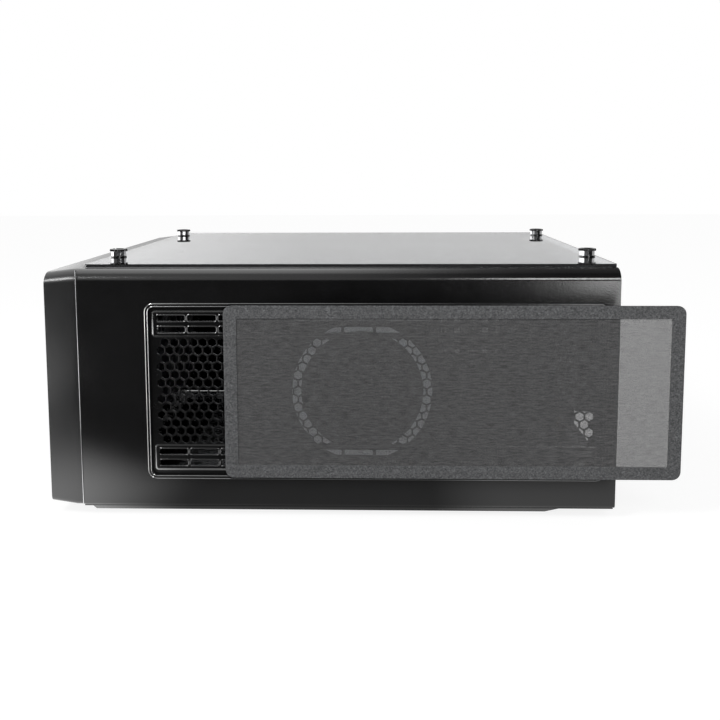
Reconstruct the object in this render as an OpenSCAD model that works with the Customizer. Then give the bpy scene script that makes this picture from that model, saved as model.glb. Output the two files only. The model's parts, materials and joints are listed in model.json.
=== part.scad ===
// Mid-tower gaming computer case, lying on its steel side panel with the glass side up.
// X runs from the front panel (-X) to the rear panel (+X), Y from the top panel (-Y) to the feet (+Y),
// and Z from the steel side panel that it rests on (Z = 0) up to the glass.

/* [Case] */
// Length from the front face to the rear edge
case_l = 480; // [470:5:520]
// Height of the case from its top face to its bottom face, which lies along Y here
case_h = 480; // [470:5:510]
// Distance from the floor to the outer face of the glass
case_w = 214.4; // [214.4:1:225.4]
// Thickness of the steel sheet
sheet = 1; // [0.8:0.1:1.2]

/* [Top panel] */
// Length of the recess, up to the outer side of its lip
recess_l = 386.4; // [384:0.4:392]
// Height of the recess across the panel, up to the outer side of its lip
recess_w = 151; // [149:0.4:154]
// Outer corner radius of the lip
recess_r = 8; // [6:1:10]
// Width of the lip that the magnetic filter lies on
lip_w = 3.4; // [2.4:0.2:4.4]
// Depth of the recess below the face
recess_depth = 2.8; // [2.2:0.2:3.6]
// Distance from the rear edge of the case to the recess
recess_rear = 8.8; // [7:0.2:13]
// Height of the raised lip round the recess
lip_h = 1; // [0.5:0.1:1.5]
// Depth of the sloping shoulder beside the glass
shoulder_d = 16.2; // [14:0.2:18]
// Height of the sloping shoulder
shoulder_h = 10.7; // [9:0.1:12]

/* [Top vent] */
// Distance between two neighbouring honeycomb holes
hex_pitch = 8; // [8:0.1:8.4]
// Width of the web that is left between two honeycomb holes
hex_web = 1.5; // [1.2:0.1:2]
// Rows of honeycomb holes
hex_rows = 13; // [9:2:13]
// Honeycomb columns over each of the three fan places
hex_cols = 11; // [7:1:11]
// Spacing of the inner slot rows, for 120 mm fans
slot_near = 105; // [104:0.5:106]
// Spacing of the outer slot rows, for 140 mm fans
slot_far = 124.5; // [124:0.5:125]
// Length of one fan slot
slot_l = 23.8; // [20:0.2:24.2]
// Width of one fan slot
slot_w = 4.6; // [4.2:0.2:5]
// Fan slots in one row
slot_count = 14; // [8:1:14]

/* [Magnetic filter] */
// Length of the top dust filter
filter_l = 381.6; // [376:0.4:383]
// Height of the top dust filter
filter_w = 147; // [143:0.4:147.4]
// Corner radius of the top dust filter
filter_r = 7; // [4:1:9]
// Thickness of the magnetic border
filter_t = 1.6; // [1.2:0.1:2.4]
// Width of the magnetic border
filter_border = 11; // [8:0.5:14]
// How far the filter has been slid towards the rear
filter_pulled = 64.2; // [40:0.2:90]

/* [Glass] */
// Thickness of the tempered glass
glass_t = 4; // [3:0.5:4]
// Diameter of the holes in the glass
glass_hole_d = 8; // [7.6:0.2:10]
// Distance from the front and rear edges of the glass to its screws
screw_edge_x = 10.6; // [10:0.2:12]
// Distance from the upper edge of the glass to its nearer screws
screw_edge_top = 78.2; // [60:0.2:100]
// Distance from the lower edge of the glass to its nearer screws
screw_edge_low = 59.8; // [40:0.2:80]

/* [Thumbscrews] */
// Diameter of the knurled head
knob_d = 16; // [14:0.5:18]
// Height of the knurled head
knob_h = 5; // [4:0.5:7]
// Height of the collar below the head
collar_h = 2.6; // [2:0.2:4]
// Diameter of the threaded shank
shank_d = 4; // [3.6:0.1:4.2]

/* [Front panel] */
// Depth of the front panel
front_d = 28; // [26:1:36]
// Wall of the moulded front panel
front_wall = 2.5; // [2:0.1:3]
// How far each side draws in towards the front face
front_taper = 2.5; // [0:0.5:4]
// Diameter of the power button
power_d = 18; // [14:0.5:22]
// Diameter of the reset button
reset_d = 9; // [7:0.5:12]

/* [Steel side panel] */
// How far the middle of the panel bulges out
bulge_h = 7.5; // [5:0.5:8.5]

/* [Fans] */
// Side of a square fan
fan_w = 120; // [118:1:120]
// Thickness of a fan
fan_t = 25; // [20:1:28]
// Least wall between the side of a fan and its air duct
duct_wall = 3.5; // [3:0.5:5]
// Blades on one rotor
blade_count = 9; // [5:1:11]
// Diameter of the rotor's hub
hub_d = 42; // [36:1:46]
// Width of the frosted light ring
ring_w = 7.5; // [6:0.5:9]

/* [Inside] */
// Room for cables behind the motherboard tray
cable_room = 23; // [19:1:25]
// Height of a motherboard standoff
standoff_h = 6.5; // [6:0.5:9]
// Width of a motherboard standoff across its flats
standoff_af = 5.5; // [5:0.5:6]
// Diameter of the thread in a standoff
standoff_bore = 3; // [2.5:0.1:3.2]
// Height of the feet
foot_h = 14; // [8:1:20]

/* [Hidden] */
$fn = 48;
gap = 0.3;

// Faces of the case
x0 = -case_l / 2;
x1 = case_l / 2;
y0 = -case_h / 2;
y1 = case_h / 2;
seam_x = x0 + front_d;
panel_z = bulge_h;
rim_z = panel_z + sheet + gap;
floor_z = rim_z + sheet;
glass_z = case_w - glass_t;
grommet_lip = 1;
post_h = 3.4;
ledge_z = glass_z - grommet_lip - post_h;
ledge_d = 20;
shoulder_top = glass_z + 1.3;
bend_r = 3;
plate_x = seam_x + gap;
rear_x = x1 - gap - 2 * sheet;
vent_y = y0 + recess_depth;
inner_y = vent_y + sheet;
tray_z = floor_z + cable_room;
board_z = tray_z + sheet + standoff_h;

// Recess, vent and filter
recess_x = x1 - recess_rear - recess_l / 2;
vent_z = (floor_z + ledge_z) / 2 + 0.1;
hex_row = hex_pitch * sqrt(3) / 2;
slot_step = (recess_l - 45) / (slot_count - 1);
vent_x = recess_x - 0.8;
frame_h = 24;
frame_bead = 2.4;
frame_l = recess_l - 2 * lip_w - 4.4;
fan_step = 137;
filter_x = recess_x + filter_pulled;
filter_y = y0 - lip_h - gap;
mesh_t = 0.8;

// Glass and its screws
glass_x0 = seam_x + 2.7;
glass_x1 = x1;
glass_y0 = y0 + shoulder_d + 0.8;
glass_y1 = y1 - 3;
screw_xs = [glass_x0 + screw_edge_x, glass_x1 - screw_edge_x];
screw_ys = [glass_y0 + screw_edge_top, glass_y1 - screw_edge_low];
sleeve_bore = shank_d + 0.8;
sleeve_d = glass_hole_d - 2 * 0.05;
grommet_d = 15;
thread_bore = shank_d + 0.1;
shank_l = collar_h + glass_t + grommet_lip + post_h + sheet;
rear_screw_ys = [y0 + 90, y1 - 90];
rear_flange_h = 22;
rear_screw_z = panel_z + 13;

// Fans
duct_d = fan_w - 2 * duct_wall;
ring_d = fan_w - 2;
fan_hole_pitch = fan_w - 15;
top_fan_x = recess_x - 11;
front_fan_ys = [for (i = [0 : 2]) y0 + 30 + fan_w / 2 + i * (fan_w + 2)];
front_fan_z = vent_z;
rear_fan_y = y0 + 96;
rear_fan_z = ledge_z - 3 - fan_w / 2;
fan_hole_d = 4.4;
ring_t = 3;
screw_head_d = 7.4;
screw_head_h = 1.8;

// Power supply bay and rear openings
psu_w = 86;
psu_l = 150;
psu_hole_y = 74;
psu_hole_z = 138;
psu_hole_d = 3.6;
psu_z = tray_z + sheet + 6 + psu_l / 2;
io_w = 44.5;
io_l = 158.8;
io_z = board_z - 3 + io_w / 2;
slot_gap = 20.32;
slot_open_w = 13.5;
slot_open_h = 108;
slot_open_z = board_z + 4;
rear_slots = 7;
slots_l = 16 + (rear_slots - 1) * slot_gap + slot_open_w / 2 + 1.5;
spare = case_h - sheet - io_l - slots_l - psu_w;
io_y = y0 + 0.34 * spare + io_l / 2;
slot_first_y = io_y + io_l / 2 + 16;
shroud_y = io_y + io_l / 2 + slots_l + 0.34 * spare;
shroud_h = y1 - sheet - shroud_y;
psu_y = y1 - sheet - 0.136 * spare - psu_w / 2;
foot_d = 34;
foot_xs = [seam_x + 40, x1 - 45];
foot_zs = [floor_z + foot_d / 2 + 2, ledge_z - foot_d / 2 - 2];
pad_t = 2;

// A rounded rectangle about the origin
module rounded(l, w, r, steps = 6) {
    polygon([for (q = [0 : 3], k = [0 : steps])
        let (a = 90 * q + 90 * k / steps, sx = (q == 0 || q == 3) ? 1 : -1, sy = q < 2 ? 1 : -1)
        [sx * (l / 2 - r) + r * cos(a), sy * (w / 2 - r) + r * sin(a)]]);
}

// Points of an elliptic arc from angle a0 to a1
function arc(c, rx, ry, a0, a1, steps) =
    [for (k = [0 : steps]) let (a = a0 + (a1 - a0) * k / steps) [c[0] + rx * cos(a), c[1] + ry * sin(a)]];

// Outline of a sheet of thickness t that is bent along a path, with its thickness on the right
function unit(v) = v / norm(v);
function side_of(v) = [v[1], -v[0]];
function heading(p, i) = unit(p[i + 1] - p[i]);
function miter(p, i) =
    i == 0 ? side_of(heading(p, 0)) :
    i == len(p) - 1 ? side_of(heading(p, i - 1)) :
    let (n = side_of(heading(p, i - 1)), s = unit(n + side_of(heading(p, i)))) s / (s * n);
function bent(p, t) = concat(p, [for (i = [len(p) - 1 : -1 : 0]) p[i] + t * miter(p, i)]);

// Drawings on the YZ plane pushed along X, and on the XZ plane pushed along Y
module along_x(x, l) {
    translate([x, 0, 0]) rotate([90, 0, 90]) linear_extrude(l) children();
}
module along_y(y, l) {
    translate([0, y + l, 0]) rotate([90, 0, 0]) linear_extrude(l) children();
}
module block(a, b) {
    translate(a) cube(b - a);
}

// Outline of the recess, drawn in by d from the outer side of its lip
module recess_ring(d) {
    rounded(recess_l - 2 * d, recess_w - 2 * d, recess_r - d);
}

// Top panel with its rolled edges, the shoulder beside the glass and the lipped recess
module top_cover() {
    shoulder_c = [y0 + shoulder_d, shoulder_top - shoulder_h];
    path = concat(
        [[y0 + ledge_d, rim_z]],
        arc([y0 + bend_r, rim_z + bend_r], bend_r, bend_r, 270, 180, 5),
        arc(shoulder_c, shoulder_d, shoulder_h, 180, 92, 10),
        [[y0 + shoulder_d, shoulder_top - 0.8], [y0 + shoulder_d, ledge_z],
            [y0 + shoulder_d + ledge_d, ledge_z]]);
    color("#15161a") {
        difference() {
            along_x(plate_x, x1 - plate_x) polygon(bent(path, sheet));
            along_y(y0 - 1, 2 * sheet + 2) translate([recess_x, vent_z]) recess_ring(sheet);
        }
        along_y(y0 - lip_h, lip_h + sheet) translate([recess_x, vent_z]) difference() {
            recess_ring(0);
            recess_ring(lip_w);
        }
        along_y(y0 - lip_h / 2, lip_h / 2 + recess_depth) translate([recess_x, vent_z]) difference() {
            recess_ring(lip_w - sheet);
            recess_ring(lip_w);
        }
    }
}

// Perforated sheet at the bottom of the recess
module slot_rows() {
    for (s = [-1, 1], row = [slot_near, slot_far], i = [0 : slot_count - 1])
        translate([(i - (slot_count - 1) / 2) * slot_step, s * row / 2])
            square([slot_l, slot_w], center = true);
}
module honeycomb(cols) {
    for (r = [0 : hex_rows - 1], c = [0 : cols - 1 - (r + 1) % 2])
        translate([(c - (cols - 1) / 2 + (r + 1) % 2 / 2) * hex_pitch, (r - (hex_rows - 1) / 2) * hex_row])
            rotate(30) circle(d = (hex_pitch - hex_web) / cos(30), $fn = 6);
}
module top_vent_sheet() {
    color("#101114") {
        along_y(vent_y, sheet) difference() {
            translate([plate_x, floor_z + bend_r])
                square([rear_x - plate_x, ledge_z - sheet - floor_z - bend_r]);
            translate([vent_x, vent_z]) {
                slot_rows();
                for (f = [-1 : 1]) translate([f * fan_step, 0]) honeycomb(hex_cols);
            }
        }
        for (s = [-1, 1])
            along_y(vent_y - 0.7, 0.7)
                translate([vent_x, vent_z + s * (slot_near + slot_far) / 4]) difference() {
                    rounded(frame_l, frame_h, 4);
                    rounded(frame_l - 2 * frame_bead, frame_h - 2 * frame_bead, 4 - frame_bead);
                }
    }
}

// Magnetic dust filter, slid towards the rear as far as filter_pulled
module filter_border() {
    color("#3d4043")
    along_y(filter_y - filter_t, filter_t) translate([filter_x, vent_z]) difference() {
        rounded(filter_l, filter_w, filter_r);
        rounded(filter_l - 2 * filter_border, filter_w - 2 * filter_border, 1);
    }
}
module filter_mesh() {
    cols = 20;
    rows = 6;
    bar = 0.6;
    open_l = filter_l - 2 * filter_border;
    open_w = filter_w - 2 * filter_border;
    step_x = open_l / cols;
    step_z = open_w / rows;
    color("#4a4c4e")
    along_y(filter_y - filter_t / 2 - mesh_t / 2, mesh_t) translate([filter_x, vent_z]) difference() {
        rounded(open_l, open_w, 1);
        for (i = [0 : cols - 1], j = [0 : rows - 1])
            translate([(i + 0.5) * step_x - open_l / 2, (j + 0.5) * step_z - open_w / 2])
                square([step_x - bar, step_z - bar], center = true);
    }
}

// Tempered glass side panel and the rubber grommets in its four holes
module glass_panel() {
    color([0.3, 0.32, 0.34, 0.5])
    translate([(glass_x0 + glass_x1) / 2, (glass_y0 + glass_y1) / 2, glass_z]) linear_extrude(glass_t)
    difference() {
        rounded(glass_x1 - glass_x0, glass_y1 - glass_y0, 3);
        for (x = screw_xs, y = screw_ys)
            translate([x - (glass_x0 + glass_x1) / 2, y - (glass_y0 + glass_y1) / 2])
                circle(d = glass_hole_d);
    }
}
module glass_grommets() {
    color("#0c0c0c")
    for (x = screw_xs, y = screw_ys)
        translate([x, y, glass_z]) difference() {
            union() {
                translate([0, 0, -grommet_lip]) cylinder(d = grommet_d, h = grommet_lip);
                cylinder(d = sleeve_d, h = glass_t);
            }
            translate([0, 0, -grommet_lip - 1]) cylinder(d = sleeve_bore, h = glass_t + grommet_lip + 2);
        }
}
module glass_posts() {
    color("silver")
    for (x = screw_xs, y = screw_ys)
        translate([x, y, ledge_z]) difference() {
            cylinder(d = 10, h = post_h - gap);
            translate([0, 0, -1]) cylinder(d = thread_bore, h = post_h + 2);
        }
}

// Knurled thumbscrew that stands on the plane Z = 0 and reaches down into its thread
module thumbscrew(reach) {
    teeth = 36;
    color("#08080a") {
        translate([0, 0, collar_h]) linear_extrude(knob_h)
            polygon([for (i = [0 : 2 * teeth - 1])
                let (a = 180 * i / teeth, r = knob_d / 2 - 0.5 * (i % 2)) [r * cos(a), r * sin(a)]]);
        cylinder(d = 10, h = collar_h);
        translate([0, 0, collar_h + knob_h]) difference() {
            cylinder(d = knob_d - 3, h = 0.6);
            translate([0, 0, 0.2]) cylinder(d = 7, h = 1);
        }
        translate([0, 0, -reach]) cylinder(d = shank_d, h = reach);
    }
}
module glass_thumbscrew(i, j) {
    translate([screw_xs[i], screw_ys[j], case_w + gap / 3])
        thumbscrew(shank_l - collar_h - gap);
}
module rear_thumbscrew(j) {
    translate([x1 + gap / 3, rear_screw_ys[j], rear_screw_z]) rotate([0, 90, 0])
        thumbscrew(2 * sheet + gap + 5);
}

// Steel side panel: flat rim, bulged middle and a flange behind the rear panel
module dish(z, grow) {
    xa = plate_x + 6 - grow;
    xb = x1 - 56 + grow;
    ya = y0 + 18 - grow;
    hull() {
        block([xa, ya, z], [xb, -ya, z + 0.1]);
        block([xa - 4, ya - 8, z + bulge_h + 0.5], [xb + 23, -ya + 8, z + bulge_h + 0.6]);
    }
}
module side_panel() {
    edge = 3;
    color("#1b1c1f")
    difference() {
        union() {
            block([plate_x, y0 + edge, panel_z], [x1 - sheet, y1 - gap, panel_z + sheet]);
            intersection() {
                dish(0, 0);
                block([x0, y0, 0], [x1, y1, panel_z + sheet / 2]);
            }
            block([x1 - sheet, y0 + ledge_d + sheet, panel_z], [x1, y1 - edge, panel_z + rear_flange_h]);
        }
        dish(sheet, -sheet / 2);
        for (y = rear_screw_ys)
            translate([x1 - sheet - 1, y, rear_screw_z]) rotate([0, 90, 0])
                cylinder(d = sleeve_bore, h = sheet + 2);
    }
}

// Outline of the front panel on the YZ plane, drawn in by d on every side
module front_outline(d) {
    top = shoulder_top - 0.6;
    ry = shoulder_d - d;
    polygon(concat(
        arc([y0 + 5, rim_z + 5], 5 - d, 5 - d, 270, 180, 4),
        arc([y0 + shoulder_d, top - shoulder_h], ry, shoulder_h - d, 180, 90, 8),
        arc([y1 - 8, top - 8], 8 - d, 8 - d, 90, 0, 4),
        arc([y1 - 5, rim_z + 5], 5 - d, 5 - d, 360, 270, 4)));
}
module front_solid(d, back = 0) {
    lead = 6;
    mid_z = (rim_z + shoulder_top) / 2;
    taper_y = 1 - 2 * front_taper / case_h;
    taper_z = 1 - 2 * front_taper / (shoulder_top - rim_z);
    translate([seam_x, 0, mid_z]) rotate([90, 0, -90]) {
        translate([0, 0, -back]) linear_extrude(lead + back)
            mirror([1, 0]) translate([0, -mid_z]) front_outline(d);
        translate([0, 0, lead]) linear_extrude(front_d - lead - d, scale = [taper_y, taper_z], slices = 1)
            mirror([1, 0]) translate([0, -mid_z]) front_outline(d);
    }
}
intake_l = case_h - 100;
intake_w = case_w - 74.4;
intake_y = 18;
power_y = y0 + 34;
power_z = vent_z;
reset_z = vent_z + 30;
usb_zs = [vent_z - 30, vent_z - 52];
clip_ys = [y0 + 24, 0, y1 - 24];
clip_zs = [floor_z + 12, ledge_z - 16];
clip_d = 6;
module front_panel() {
    color("#17181b")
    difference() {
        union() {
            difference() {
                front_solid(0);
                front_solid(front_wall, 1);
            }
            for (y = clip_ys, z = clip_zs)
                translate([x0 + front_wall, y, z]) rotate([0, 90, 0])
                    cylinder(d = clip_d, h = front_d - front_wall + 7);
            for (s = [-1, 1])
                block([x0 + front_wall, intake_y + s * (intake_l / 2 + 4) - 1, vent_z - intake_w / 2 - 4],
                    [x0 + front_wall + 6, intake_y + s * (intake_l / 2 + 4) + 1, vent_z + intake_w / 2 + 4]);
        }
        along_x(x0 - 1, front_wall + 2) translate([intake_y, vent_z]) rounded(intake_l, intake_w, 10);
        translate([x0 - 1, power_y, power_z]) rotate([0, 90, 0]) cylinder(d = power_d + 2 * gap, h = 6);
        translate([x0 - 1, power_y, reset_z]) rotate([0, 90, 0]) cylinder(d = reset_d + 2 * gap, h = 6);
        for (z = usb_zs)
            block([x0 - 1, power_y - 7, z - 3], [x0 + front_wall + 1, power_y + 7, z + 3]);
    }
}
module front_grille() {
    cols = 20;
    rows = 6;
    seat = 3;
    step_y = (intake_l - 8) / cols;
    step_z = (intake_w - 8) / rows;
    color("#101113")
    along_x(x0 + front_wall, 1.2) translate([intake_y, vent_z]) difference() {
        rounded(intake_l + 2 * seat, intake_w + 2 * seat, 10 + seat);
        for (i = [0 : cols - 1], j = [0 : rows - 1])
            translate([(i - (cols - 1) / 2) * step_y, (j - (rows - 1) / 2) * step_z])
                rotate(i % 2 == 0 ? 8 : -8) square([step_y - 6, step_z - 4], center = true);
    }
}

// Buttons of the front panel, which press in along X, and the board behind them
module front_button(y, z, d) {
    translate([x0 - 0.8, y, z]) rotate([0, 90, 0]) {
        cylinder(d = d, h = front_wall + 2.4);
        translate([0, 0, front_wall + 0.8 + gap]) cylinder(d = d + 3, h = 1.6 - gap);
        translate([0, 0, front_wall + 2]) cylinder(d = 4, h = 3);
    }
}
module power_button() {
    color("#0c0d0f") front_button(power_y, power_z, power_d);
}
module reset_button() {
    color("#0c0d0f") front_button(power_y, reset_z, reset_d);
}
module io_board() {
    board_x = x0 + front_wall + 9;
    color("#1f5a34")
    difference() {
        union() {
            block([board_x, power_y - 9, vent_z - 62], [board_x + 1.6, power_y + 9, reset_z + 8]);
            for (z = [power_z, reset_z])
                block([board_x - 4.8, power_y - 3, z - 3], [board_x, power_y + 3, z + 3]);
            for (z = usb_zs)
                block([x0 + front_wall + gap, power_y - 6.6, z - 2.8], [board_x, power_y + 6.6, z + 2.8]);
        }
        for (z = usb_zs)
            block([x0 + front_wall - 1, power_y - 6, z - 2.2], [board_x - 1, power_y + 6, z + 2.2]);
        for (z = [power_z, reset_z])
            translate([board_x - 6, power_y, z]) rotate([0, 90, 0]) cylinder(d = 5, h = 3.4);
    }
}

// Openings and screw holes for one fan, on the plane that it is screwed to
module fan_holes() {
    circle(d = duct_d - 1);
    for (a = [-1, 1], b = [-1, 1])
        translate([a, b] * fan_hole_pitch / 2) circle(d = fan_hole_d);
}
flange_w = 26;
module front_plate() {
    color("#222326") {
        along_x(plate_x, sheet) difference() {
            union() {
                translate([inner_y, floor_z]) square([y1 - sheet - inner_y, ledge_z - sheet - floor_z]);
                translate([y0 + ledge_d, rim_z]) square([y1 - sheet - y0 - ledge_d, 2 * sheet]);
            }
            for (y = front_fan_ys) translate([y, front_fan_z]) fan_holes();
            for (y = clip_ys, z = clip_zs) translate([y, z]) circle(d = clip_d + 2 * gap);
        }
        difference() {
            union() {
                block([plate_x, y0 + shoulder_d + ledge_d, ledge_z - sheet],
                    [plate_x + flange_w, y1 - sheet, ledge_z]);
                block([plate_x, y0 + shoulder_d + ledge_d, ledge_z - 3 * sheet],
                    [plate_x + sheet, y1 - sheet, ledge_z]);
            }
            for (y = screw_ys)
                translate([screw_xs[0], y, ledge_z - 2 * sheet]) cylinder(d = thread_bore, h = 3 * sheet);
        }
    }
}

// Rear panel with the board window, expansion slots, fan grille and power supply window
module rear_panel() {
    color("#222326") {
        along_x(rear_x, sheet) difference() {
            polygon([[y0 + sheet, floor_z + bend_r], [y0 + sheet + bend_r, floor_z], [y1 - sheet, floor_z],
                [y1 - sheet, ledge_z - sheet], [y0 + sheet + bend_r, ledge_z - sheet],
                [y0 + sheet, shoulder_top - shoulder_h]]);
            translate([io_y, io_z]) square([io_l, io_w], center = true);
            for (i = [0 : rear_slots - 1])
                translate([slot_first_y + i * slot_gap - slot_open_w / 2, slot_open_z])
                    square([slot_open_w, slot_open_h]);
            translate([psu_y, psu_z]) psu_window();
            translate([rear_fan_y, rear_fan_z]) {
                for (a = [-1, 1], b = [-1, 1])
                    translate([a, b] * fan_hole_pitch / 2) circle(d = fan_hole_d);
                rear_vent_cuts();
            }
            for (y = rear_screw_ys) translate([y, rear_screw_z]) circle(d = thread_bore);
        }
        difference() {
            union() {
                block([rear_x + sheet - flange_w, y0 + shoulder_d + ledge_d, ledge_z - sheet],
                    [rear_x + sheet, y1 - sheet, ledge_z]);
                block([rear_x, y0 + shoulder_d + ledge_d, ledge_z - 3 * sheet],
                    [rear_x + sheet, y1 - sheet, ledge_z]);
            }
            for (y = screw_ys)
                translate([screw_xs[1], y, ledge_z - 2 * sheet]) cylinder(d = thread_bore, h = 3 * sheet);
        }
    }
}
module psu_window() {
    tab = 16;
    difference() {
        square([psu_w - 6, psu_l - 6], center = true);
        for (a = [-1, 1], b = [-1, 1])
            translate([a * psu_w / 2, b * psu_l / 2]) square(2 * tab, center = true);
    }
    for (a = [-1, 1], b = [-1, 1])
        translate([a * psu_hole_y / 2, b * psu_hole_z / 2]) circle(d = psu_hole_d);
}
module rear_vent_cuts() {
    ring_count = 5;
    ring_step = (duct_d - 23) / ring_count;
    difference() {
        for (i = [1 : ring_count]) difference() {
            circle(d = 18 + i * ring_step);
            circle(d = 6 + i * ring_step);
        }
        for (a = [45, 135]) rotate(a) square([duct_d, 5], center = true);
    }
}
module slot_covers() {
    lap = 1.5;
    color("#2b2c30")
    for (i = [0 : rear_slots - 1])
        translate([0, slot_first_y + i * slot_gap, 0]) difference() {
            union() {
                block([rear_x - sheet, -slot_open_w / 2 - lap, slot_open_z - 2],
                    [rear_x, slot_open_w / 2 + lap, slot_open_z + slot_open_h + 6]);
                block([rear_x - 11, -slot_open_w / 2 - lap, slot_open_z + slot_open_h + 6],
                    [rear_x, slot_open_w / 2 + lap, slot_open_z + slot_open_h + 6 + sheet]);
            }
            for (k = [0 : 9])
                block([rear_x - 2, -4, slot_open_z + 6 + k * 10], [rear_x + 1, 4, slot_open_z + 10 + k * 10]);
        }
}

// Motherboard tray with its stand-offs, processor window and cable holes
standoff_xs = [0, 157.5, 203.2];
standoff_ys = [0, 157.5, 281.9];
board_x1 = rear_x - 13;
board_y0 = io_y - io_l / 2 + 12;
grommet_xs = board_x1 - 250;
grommet_ys = [board_y0 + 78, board_y0 + 170, board_y0 + 262];
cpu_window = 110;
grommet_l = 72;
grommet_w = 26;
module motherboard_tray() {
    front_x = seam_x + 75;
    color("#26272a")
    translate([0, 0, tray_z]) linear_extrude(sheet) difference() {
        translate([front_x, inner_y]) square([rear_x - front_x, y1 - sheet - inner_y]);
        translate([board_x1 - 95, board_y0 + 70]) square(cpu_window, center = true);
        for (y = grommet_ys) translate([grommet_xs, y]) rotate(90) rounded(grommet_l, grommet_w, 8);
        for (x = standoff_xs, y = standoff_ys)
            translate([board_x1 - x, board_y0 + y]) circle(d = standoff_bore);
        translate([0, shroud_y + 40]) rounded(60, 24, 6);
    }
}
module standoffs() {
    color("goldenrod")
    for (x = standoff_xs, y = standoff_ys)
        translate([board_x1 - x, board_y0 + y, tray_z + sheet]) difference() {
            cylinder(d = standoff_af / cos(30), h = standoff_h, $fn = 6);
            translate([0, 0, -1]) cylinder(d = standoff_bore, h = standoff_h + 2, $fn = 24);
        }
}
module cable_grommets() {
    color("#0b0b0b")
    for (y = grommet_ys)
        translate([grommet_xs, y, tray_z]) rotate(90) difference() {
            union() {
                linear_extrude(sheet) rounded(grommet_l - 0.2, grommet_w - 0.2, 7.9);
                translate([0, 0, sheet]) linear_extrude(1.6) difference() {
                    rounded(grommet_l + 5, grommet_w + 5, 10);
                    rounded(grommet_l - 6, grommet_w - 6, 5);
                }
            }
            translate([0, 0, -1]) linear_extrude(6) {
                square([grommet_l - 14, 1.2], center = true);
                for (k = [-2 : 2]) translate([k * 12, 0]) square([1.2, grommet_w - 10], center = true);
            }
        }
}

// Power supply shroud: a plate over the bay and a wall towards the glass
wall_z = ledge_z - sheet - 6;
module psu_shroud() {
    front_x = seam_x + 62;
    plate_h = wall_z - tray_z - sheet;
    color("#202124") {
        along_y(shroud_y, sheet) difference() {
            translate([front_x, tray_z + sheet]) square([rear_x - front_x, plate_h + sheet]);
            for (i = [0 : 11], j = [0 : 2])
                translate([front_x + 170 + i * 16, tray_z + sheet + plate_h * (j + 0.6) / 3.2])
                    rounded(7, 0.23 * plate_h, 3, 3);
        }
        block([front_x, shroud_y, wall_z], [rear_x, y1 - sheet, wall_z + sheet]);
    }
}

// Riveted cage for two hard drives, under the shroud
module drive_cage() {
    cage_x = seam_x + 72;
    cage_l = 104;
    cage_d = shroud_h - 30;
    cage_y = y1 - sheet - cage_d;
    za = tray_z + sheet;
    zb = wall_z - 17.2;
    color("#303136")
    difference() {
        block([cage_x, cage_y, za], [cage_x + cage_l, y1 - sheet, zb]);
        block([cage_x + sheet, cage_y + sheet, za - 1], [cage_x + cage_l - sheet, y1 + 1, zb + 1]);
        for (a = [0.26, 0.69], b = [0.2, 0.5, 0.8])
            translate([cage_x - 1, cage_y + a * cage_d, za + b * (zb - za)]) rotate([0, 90, 0])
                cylinder(d = 9, h = cage_l + 2);
    }
}

// Bottom plate with the power supply's air window and the filter's runners
window_l = 132;
window_w = foot_zs[1] - foot_zs[0] - foot_d - 26.2;
window_x = x1 - 100;
window_z = (floor_z + ledge_z) / 2;
tray_l = window_l + 26;
tray_w = window_w + 16;
runner_y = y1 + 5;
module bottom_plate() {
    slats = 11;
    color("#222326") {
        along_y(y1 - sheet, sheet) difference() {
            translate([plate_x, rim_z]) square([x1 - sheet - gap - plate_x, ledge_z - rim_z]);
            translate([window_x, window_z])
                for (i = [0 : slats - 1])
                    translate([(i - (slats - 1) / 2) * window_l / slats, 0])
                        rounded(window_l / slats - 3, window_w, 4, 3);
        }
        for (s = [-1, 1]) {
            z = window_z + s * (tray_w / 2 + gap);
            block([window_x - tray_l / 2, y1, s > 0 ? z : z - 2],
                [x1 - 14, runner_y, s > 0 ? z + 2 : z]);
            block([window_x - tray_l / 2, runner_y - 1, s > 0 ? z - 4 : z],
                [x1 - 14, runner_y, s > 0 ? z : z + 4]);
        }
    }
}
module psu_filter() {
    cols = 12;
    rows = 10;
    open_l = tray_l - 14;
    open_w = tray_w - 14;
    step_x = open_l / cols;
    step_z = open_w / rows;
    color("#17181a") {
        along_y(y1 + gap, 3.2) translate([window_x, window_z]) difference() {
            square([tray_l, tray_w], center = true);
            square([open_l, open_w], center = true);
        }
        along_y(y1 + gap + 1.2, 0.8) translate([window_x, window_z]) difference() {
            square([open_l, open_w], center = true);
            for (i = [0 : cols - 1], j = [0 : rows - 1])
                translate([(i + 0.5) * step_x - open_l / 2, (j + 0.5) * step_z - open_w / 2])
                    square([step_x - 1, step_z - 1], center = true);
        }
        block([window_x + tray_l / 2, y1 + gap, window_z - 20],
            [window_x + tray_l / 2 + 8, y1 + gap + 6, window_z + 20]);
    }
}
module feet() {
    color("#131316")
    for (x = foot_xs, z = foot_zs)
        translate([x, y1, z]) rotate([-90, 0, 0]) difference() {
            cylinder(d1 = foot_d, d2 = foot_d - 8, h = foot_h, $fn = 64);
            translate([0, 0, foot_h - 1.5]) cylinder(d = foot_d - 14, h = 2);
        }
}
module foot_pads() {
    color("#050505")
    for (x = foot_xs, z = foot_zs)
        translate([x, y1 + foot_h - 1.5, z]) rotate([-90, 0, 0]) cylinder(d = foot_d - 14, h = pad_t);
}

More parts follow.
